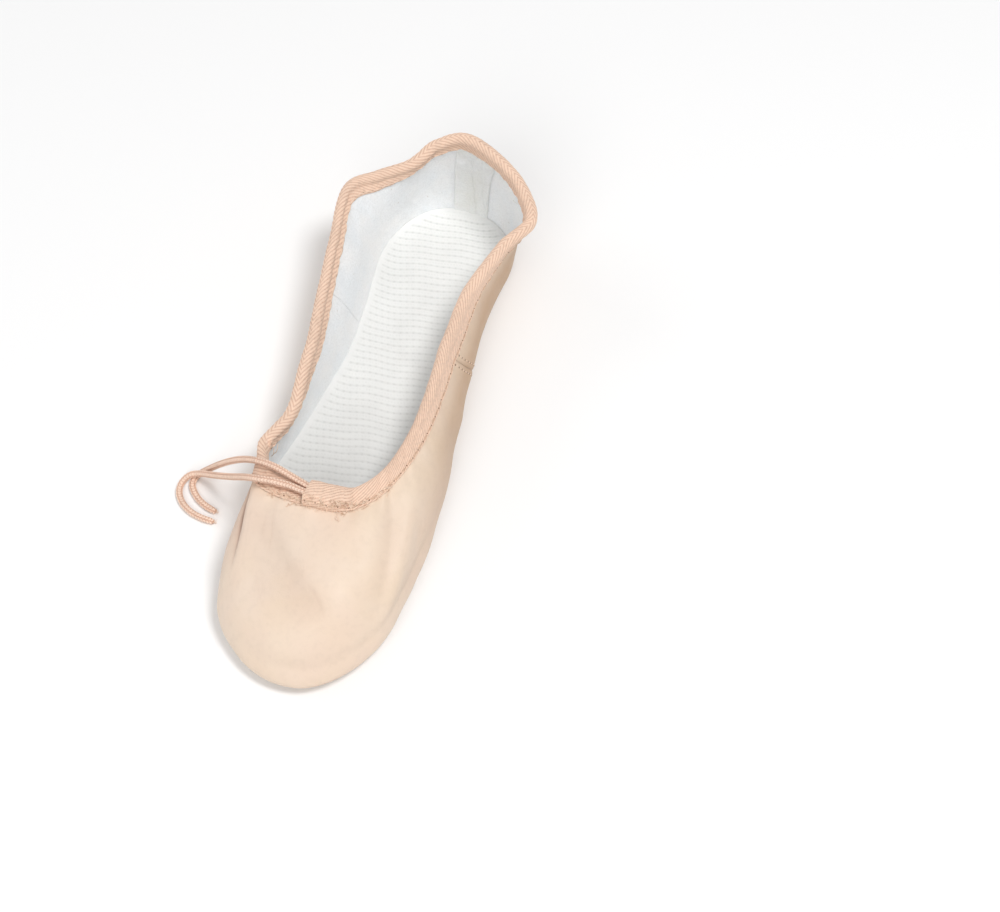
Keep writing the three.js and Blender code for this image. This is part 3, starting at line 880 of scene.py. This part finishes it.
def make_binding():
    u = np.arange(EXIT, TAPE_END, TAPE_STEP)
    face = tape_face(u, 76)
    tangent = unit(np.gradient(face, axis=1))
    outward = np.stack([-tangent[..., 1], tangent[..., 0]], axis=-1)
    middle = face.mean(axis=1, keepdims=True)
    if ((face - middle) * outward).sum() < 0:
        outward = -outward
    along = walked_along(wall.at(u, 0.0))[:, None]
    steps = np.linalg.norm(np.diff(face, axis=1), axis=2)
    walked = np.hstack([np.zeros((len(u), 1)), np.cumsum(steps, axis=1)])
    top = np.argmin(face[..., 0], axis=1)
    across = walked - walked[np.arange(len(u)), top][:, None]
    ribs = rib_pattern(along, across)
    edge = np.minimum(walked, walked[:, -1:] - walked)
    pressed = 1 - 0.65 * smooth(np.abs(across), BEAD_HALF - 0.8, BEAD_HALF + 0.8)
    lift = RIB_HEIGHT * (ribs - 0.5) * pressed * smooth(edge, 0.4, 2.0)
    lift -= 0.28 * np.exp(-(((face[..., 0] - STITCH_DROP) / 0.5) ** 2)) * (face[..., 1] > 0)
    under_tails = smooth(u, TAPE_END - PRESSED_FROM, TAPE_END - PRESSED_FULL)[:, None]
    under_tails = under_tails * (1 - smooth(face[..., 0], 5.5, 7.5)) * smooth(face[..., 1], -0.5, 0.8)
    lift = lift * (1 - 0.7 * under_tails) - PRESS_DEPTH * under_tails
    outer = face + outward * lift[..., None]
    inner = face - outward * (TAPE_T + 0.4 * under_tails)[..., None]
    cloth = np.stack([along + 0 * across, across, ribs], axis=-1)
    grids = [wall.at(u[:, None] + 0 * g[..., 0], g[..., 0], g[..., 1]) for g in (outer, inner)]
    return shell("topline_tape", *grids, cloth)


dress(make_binding(), TAPE, "binding_tape", "topline_binding")


# ---- Drawstring
BRAID_COLUMNS = 4
BRAID_PITCH = 1.25
BRAID_SIDES = 48
TAIL_STEP = 0.13
# A tail starts this share of its first span further in, so that a pull keeps its end hidden.
TAIL_EXTRA = 0.65


def braid(walked, angle):
    """Height between 0 and 1 of lengthwise columns of V-shaped stitches."""
    column = BRAID_COLUMNS * angle / (2 * math.pi)
    f = column % 1
    phase = walked / BRAID_PITCH + 0.55 * np.abs(2 * f - 1) + 0.5 * (np.floor(column) % 2)
    stitch = np.abs(np.sin(math.pi * phase))
    return np.sin(math.pi * f) ** 0.5 * (0.15 + 0.85 * stitch**0.8)


def cord_rings(path, radius, end_taper):
    walked = walked_along(path)[:, None]
    angle = (2 * math.pi * np.arange(BRAID_SIDES) / BRAID_SIDES)[None, :]
    height = braid(walked, angle)
    to_end = walked[-1] - walked
    narrowing = 1 - end_taper * np.exp(-((to_end / 1.3) ** 2))
    radii = radius * narrowing * (0.82 + 0.25 * height)
    cloth = np.stack([walked + 0 * angle, angle * radius + 0 * walked, height], axis=-1)
    return tube_rings(path, radii), cloth


def fray(end, heading, count):
    """Short loose fibres that fan out of a cut cord's end."""
    fibres = []
    for _ in range(count):
        start = end + rng.normal(scale=0.35, size=3)
        aim = unit(heading + rng.normal(scale=0.28, size=3))
        bend = rng.normal(scale=0.25, size=3)
        length = rng.uniform(0.5, 1.5)
        f = np.linspace(0, 1, 6)[:, None]
        line = start + length * (aim * f + bend * f * f)
        line[:, 2] = np.maximum(line[:, 2], 0.2)
        fibres.append(thin_tube(line, 0.07, 5, 0.5))
    return fibres


for name, route in (("upper", TAIL_UPPER), ("lower", TAIL_LOWER)):
    inside = (1 + TAIL_EXTRA) * np.array(route[0]) - TAIL_EXTRA * np.array(route[1])
    path = even_steps(open_spline(np.vstack([inside, route]) + CENTRE, 12), TAIL_STEP)
    rings, cloth = cord_rings(path, CORD_D / 2, 0.22)
    tail = tubes(f"tail_{name}", [rings], [cloth])
    dress(tail, BRAID, "braided_cord", f"drawstring_tail_{name}", body="drawstring_tails")
    ends = tubes(f"tail_{name}_fray", fray(path[-1], unit(path[-1] - path[-8]), 16))
    dress(ends, THREAD, "braided_cord", body="drawstring_tails")

run_u = np.arange(EXIT + 1.5 / COLUMNS, TAPE_END - 0.8 / COLUMNS, 0.0012)
run_rings, run_cloth = cord_rings(wall.at(run_u, 2.3, -0.85 + 0 * run_u), 1.0, 0.0)
dress(tubes("drawstring_in_channel", [run_rings], [run_cloth]), BRAID, "braided_cord", "drawstring_run")


# ---- Soles
def sole_outline(offset):
    """The sole line moved out by offset."""
    sole, out = sole_line(np.arange(0, 1, 0.001))
    return sole + out * offset + CENTRE[:2]


def edge_distance(xy, outline):
    """Distance from each point to the outline, worked out in chunks to save memory."""
    chunks = np.array_split(xy, 60)
    return np.concatenate([np.linalg.norm(c[:, None] - outline, axis=2).min(axis=1) for c in chunks])


def plate_grid(outline, lengthwise, crosswise):
    """Rows across the sole from heel to toe, closer together towards the edges."""
    heel = outline[:, 1].argmax()
    outline = np.roll(outline, -heel, axis=0)
    toe = outline[:, 1].argmin()
    left = outline[: toe + 1][::-1]
    right = outline[toe:]
    f = np.linspace(0, math.pi, lengthwise)
    low, high = outline[:, 1].min(), outline[:, 1].max()
    spread = 0.75 * (1 - np.cos(f)) / 2 + 0.25 * f / math.pi
    y = low + 0.02 + (high - low - 0.04) * spread
    x_left = np.interp(y, left[:, 1], left[:, 0])
    x_right = np.interp(y, right[:, 1], right[:, 0])
    w = np.linspace(0, math.pi, crosswise)
    w = 0.5 * (1 - np.cos(w)) / 2 + 0.5 * w / math.pi
    x = x_left[:, None] + (x_right - x_left)[:, None] * w[None, :]
    xy = np.stack([x, np.repeat(y[:, None], crosswise, axis=1)], axis=-1)
    distance = edge_distance(xy.reshape(-1, 2), outline).reshape(xy.shape[:2])
    return xy, distance


def lifted(xy, z):
    return np.concatenate([xy, z[..., None]], axis=-1)


STITCH_INSET = 3.4  # from the outsole's edge to its row of stitches
GROOVE_DEPTH = 0.55


def make_outsole():
    xy, distance = plate_grid(sole_outline(-1), 330, 90)
    rounding = 0.45 * np.clip(1 - distance / 0.6, 0, 1) ** 2
    groove = GROOVE_DEPTH * np.exp(-(((distance - STITCH_INSET) / 0.35) ** 2))
    bottom = lifted(xy, np.maximum(rounding, groove))
    top = lifted(xy, OUTSOLE_T - 0.5 * rounding)
    return shell("suede_outsole", bottom, top)


SOCK_TOP = 6.9
SOCK_EDGE = 8.8  # height of the sock's turned-up edge
SOCK_ROW = 3.3  # from one row of stitches to the next
SOCK_GAP = 0.08  # between that edge and the lining


def sock_outline():
    """Where the lining's inner face is at the height of the sock's turned-up edge."""
    u = np.arange(0, 1, 0.001)[:, None]
    drop = drop_at(u, np.linspace(0.05, 0.5, 80)[None, :])
    inner = wall.at(u, drop, LINING_D - LINING_T - SOCK_GAP + 0 * drop)
    edge = np.array([[np.interp(SOCK_EDGE, row[:, 2], row[:, k]) for k in (0, 1)] for row in inner])
    window_size = 15
    padded = np.concatenate([edge[-window_size:], edge, edge[:window_size]])
    kernel = np.ones(window_size) / window_size
    even = np.stack([np.convolve(padded[:, k], kernel, "same") for k in (0, 1)], axis=1)
    return even[window_size:-window_size]


def make_sock():
    xy, distance = plate_grid(sock_outline(), 620, 110)
    x, y = xy[..., 0], xy[..., 1]
    wander = 0.45 * np.sin(x / 7 + y / 19) + 0.3 * np.sin(x / 3.1 + y / 11)
    wander = wander + 0.25 * np.sin(y / 4.3 + x / 17)
    row = (y - 0.12 * x + wander) / SOCK_ROW
    line = np.exp(-((((row + 0.5) % 1) - 0.5) / 0.12) ** 2)
    dashes = 0.45 + 0.55 * np.clip(np.sin(2 * math.pi * (x / 2.6 + np.floor(row + 0.5) * 0.37)), 0, 1)
    half = np.exp(-((((row) % 1) - 0.5) / 0.09) ** 2)
    dots = 0.35 * half * np.clip(np.sin(2 * math.pi * x / 1.3), 0, 1)
    sunk = np.clip(line * dashes + dots, 0, 1) * smooth(distance, 1.2, 3.0)
    waves = 0.25 * ripples(lifted(xy, 0 * x), 26, 6, 5)
    cupped = (SOCK_EDGE - SOCK_TOP) * np.exp(-((distance / 4.4) ** 2))
    top = SOCK_TOP + waves * smooth(distance, 0, 6) + cupped - 0.3 * sunk
    cloth = np.stack([x, y, 1 - sunk], axis=-1)
    return shell("ribbed_sock", lifted(xy, top), lifted(xy, top - 0.45), cloth)


dress(make_outsole(), SUEDE, "suede_sole", "outsole")
dress(make_sock(), SOCK, "sock_cotton", "sock_lining")
for node, material in (("lasting_filler", FELT), ("insole_board", BOARD), ("insole_pad", FOAM)):
    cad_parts[node].data.materials.clear()
    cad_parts[node].data.materials.append(material)


# ---- Heel tape inside
HEEL_TAPE_HALF = 0.022  # in u
HEEL_TAPE_MIDDLE = -0.006


def make_heel_tape():
    """The strip over the heel seam, puckered where the drawstring draws the heel in."""
    v = np.linspace(-1, 1, 100)[:, None]
    u = HEEL_TAPE_MIDDLE + HEEL_TAPE_HALF * v
    drop = np.linspace(7.2, wall.full_drop(0.0) - 15, 160)[None, :]
    edge = smooth(np.abs(v), 0.93, 1.0)
    near_top = np.exp(-(((drop - 11) / 7) ** 2))
    wobble = np.sin(drop / 1.3 + 2.5 * v) + 0.7 * np.sin(drop / 0.75 - 4 * v + 1)
    pucker = 0.3 * wobble * near_top * window(v, -1.0, -0.1, 0.7, 1.0)
    lean = v + 0.012 * (drop - 12)
    channel = 0.4 * np.exp(-(((lean - 0.05) / 0.05) ** 2)) + 0.3 * np.exp(-(((lean + 0.5) / 0.05) ** 2))
    depth = LINING_D - LINING_T - 0.5 + 0.38 * edge + channel - pucker
    return shell("heel_tape", wall.at(u, drop, depth), wall.at(u, drop, depth - 0.3))


dress(make_heel_tape(), HEEL_TAPE, "napped_lining", "heel_seam_tape")


# ---- Stitching
def stitch_line(path, normals, pitch, length, radius):
    """Rings of one row of stitches: each is a short thread that dips into the cloth at both ends."""
    walked = walked_along(path)
    pieces = []
    holes = []
    starts = np.arange(pitch * 0.3, walked[-1] - length, pitch)
    for start in starts:
        at = start + length * np.linspace(0, 1, 7)
        at = at + rng.normal(scale=0.03)
        line = np.stack([np.interp(at, walked, path[:, k]) for k in range(3)], axis=1)
        lift = np.stack([np.interp(at, walked, normals[:, k]) for k in range(3)], axis=1)
        arch = np.sin(np.linspace(0, math.pi, 7))[:, None] ** 0.6
        pieces.append(thin_tube(line + lift * radius * (1.5 * arch - 1.0), radius, 7))
        holes.append((line[0] - (pitch - length) / 2 * unit(line[1] - line[0]), lift[0]))
    return pieces, holes


def hole_rings(holes):
    """Small flat dark pads, painted shade where the needle went through."""
    rings = []
    for centre, normal, radius in holes:
        path = centre + normal * np.array([[-0.25], [-0.05], [0.06]])
        size = radius * np.array([[1.0], [1.0], [0.7]])
        rings.append(tube_rings(path, np.repeat(size, 8, axis=1)))
    return rings


def wall_line(u, drop, depth):
    points, normals, _ = wall.look_up(u, drop)
    return points + normals * np.asarray(depth)[..., None], normals


all_holes = []


def add_stitches(name, lines, pitch, length, radius, hole, *nodes, material=THREAD):
    """Rows of stitches: their pitch and length, the thread's radius and the needle holes' radius in mm."""
    pieces = []
    for path, normals in lines:
        row, holes = stitch_line(path, normals, pitch, length, radius)
        pieces += row
        all_holes.extend((centre, normal, hole) for centre, normal in holes)
    dress(tubes(name, pieces), material, "sewing_thread", *nodes)


tape_u = np.arange(EXIT + 0.004, TAPE_END - 0.002, 0.001)
leg_drop = STITCH_DROP + 0.6 * (1 - smooth(tape_u, POUCH_FULL, POUCH_END))
leg_depth = 0.9 + 2.4 * (1 - smooth(tape_u, POUCH_FULL, POUCH_END))
# The outer row is brown thread; its darkness is partly painted shade for the dark dashes where the thread
# pulls the tape down.
add_stitches("binding_stitches_outer", [wall_line(tape_u, leg_drop, leg_depth)], 4.3, 2.8, 0.25, 0.3,
             "binding_thread_outer", material=BROWN_THREAD)
inner_path, inner_normals = wall_line(tape_u, 7.1 + 0 * tape_u, -2.62 + 0 * tape_u)
add_stitches("binding_stitches_inner", [(inner_path, -inner_normals)], 4.2, 2.7, 0.24, 0.16,
             "binding_thread_inner")

SEAM_ROW = 0.0037  # in u: from the seam to a row of stitches
for seam, at in (("side_seam_left", LEFT_SEAM), ("side_seam_right", RIGHT_SEAM), ("heel_seam", 0.0)):
    rise = np.linspace(0.86, 0.28, 60)
    rows = []
    for side in (-1, 1):
        u = seam_u(at, rise) + side * SEAM_ROW
        rows.append(wall_line(u, drop_at(u, rise), 0.02 + 0 * rise))
    add_stitches(f"{seam}_stitches", rows, 2.9, 1.7, 0.18, 0.45, f"{seam}_thread_a", f"{seam}_thread_b")

outline = sole_outline(-1 - STITCH_INSET)
sole_path = np.hstack([outline, np.full((len(outline), 1), 0.34)])
add_stitches("outsole_stitches", [(sole_path, np.tile([0, 0, -1.0], (len(outline), 1)))], 3.2, 2.3, 0.2, 0.4)
dress(tubes("needle_hole_shade", hole_rings(all_holes)), HOLE_SHADE, "upper_leather")


# ---- Loose thread ends round the throat
def leg_height(u, drop):
    """How high the binding's outer face is above the leather at its lower edge."""
    plain = np.interp(drop, [9.2, 9.6], [1.0, 0.15])
    pouch = np.interp(drop, [6.0, 7.6, 8.8, 9.5, 9.8], [4.75, 4.65, 3.8, 2.2, 0.15])
    open_out = 1 - smooth(u, POUCH_FULL, POUCH_END)
    return np.where(u < EXIT, plain, plain + (pouch - plain) * open_out)


def loose_threads(count, first_drop, reach):
    """Thin curly ends that lie round the binding's lower edge at the throat."""
    pieces = []
    for _ in range(count):
        f = np.linspace(0, 1, 18)
        start = rng.uniform(10.5, 14.4) / STATION_COUNT
        along = rng.uniform(0.002, 0.010) * rng.choice([-1, 1])
        curl = rng.uniform(0.0006, 0.0018) * np.sin(f * rng.uniform(5, 14) + rng.uniform(0, 6))
        drop = first_drop + rng.uniform(-0.8, 0.8) + rng.uniform(-0.3, 1) * reach * f
        drop = drop + rng.uniform(0.2, 0.6) * np.sin(f * rng.uniform(5, 12) + rng.uniform(0, 6))
        u = start + along * f + curl
        height = leg_height(u, drop) + rng.uniform(0.1, 0.7) * np.sin(math.pi * f)
        pieces.append(thin_tube(wall.at(u, drop, height), rng.uniform(0.07, 0.12), 5, 0.4))
    return pieces


def stray_end(u, drop, depth, radius):
    """One thread end that sticks out along the listed places of the wall."""
    keys = np.stack([u, drop, depth], axis=1)
    line = even_steps(open_spline(keys, 8) * [500, 1, 1], 0.4) / [500, 1, 1]
    return thin_tube(wall.at(line[:, 0], line[:, 1], line[:, 2]), radius, 6, 0.3)


on_tape = loose_threads(120, 7.9, 1.5)
on_leather = loose_threads(48, 9.6, 1.7)
frayed_light = on_tape[:90] + on_leather[:36]
dress(tubes("frayed_threads_light", frayed_light), LIGHT_THREAD, "sewing_thread")
dress(tubes("frayed_threads_dark", on_tape[90:] + on_leather[36:]), BROWN_THREAD, "sewing_thread")
throat_end = stray_end([0.578, 0.581, 0.5795, 0.584], [9.5, 11.0, 12.4, 13.8], [0.9, 0.5, 0.9, 0.25], 0.16)
side_ends = [
    stray_end([0.385, 0.388, 0.3865], [7.6, 9.6, 12.0], [-3.0, -3.8, -2.6], 0.14),
    stray_end([0.391, 0.393, 0.3915], [7.6, 9.4, 11.4], [-3.0, -3.7, -2.6], 0.14),
]
heel_end = stray_end([0.932, 0.9355, 0.938, 0.9365], [8.0, 9.4, 10.6, 12.0], [-3.0, -4.0, -3.4, -2.6], 0.16)
dress(tubes("thread_ends", [throat_end] + side_ends), THREAD, "sewing_thread")
dress(tubes("white_thread_end", [heel_end]), HEEL_TAPE, "sewing_thread")


# ---- Floor and light
def make_floor():
    bpy.ops.mesh.primitive_plane_add(size=6, location=(0, 0, 0))
    floor = bpy.context.object
    floor.name = "floor"
    m = Shader("floor", (0.93, 0.93, 0.93), 0.8, {})
    floor.data.materials.append(m.material)


# Place and size in metres, and power in watts.
LIGHTS = {
    "key": ((0.62, -0.08, 1.5), 0.5, 13),
    "fill": ((-0.05, -1.35, 1.15), 1.2, 9.5),
    "left": ((-1.3, 0.25, 0.6), 1.0, 3.6),
}
WORLD_STRENGTH = 0.42


def add_light(name, location, size, power):
    data = bpy.data.lights.new(name, "AREA")
    data.shape = "DISK"
    data.size = size
    data.energy = power
    light = bpy.data.objects.new(name, data)
    light.location = location
    light.rotation_euler = Vector(location).to_track_quat("Z", "Y").to_euler()
    bpy.context.collection.objects.link(light)


make_floor()
for name, (location, size, power) in LIGHTS.items():
    add_light(name, location, size, power)
world = bpy.data.worlds.new("studio")
bpy.context.scene.world = world
world.use_nodes = True
world.node_tree.nodes["Background"].inputs["Color"].default_value = (1, 1, 1, 1)
world.node_tree.nodes["Background"].inputs["Strength"].default_value = WORLD_STRENGTH
bpy.context.scene.view_settings.view_transform = "Standard"
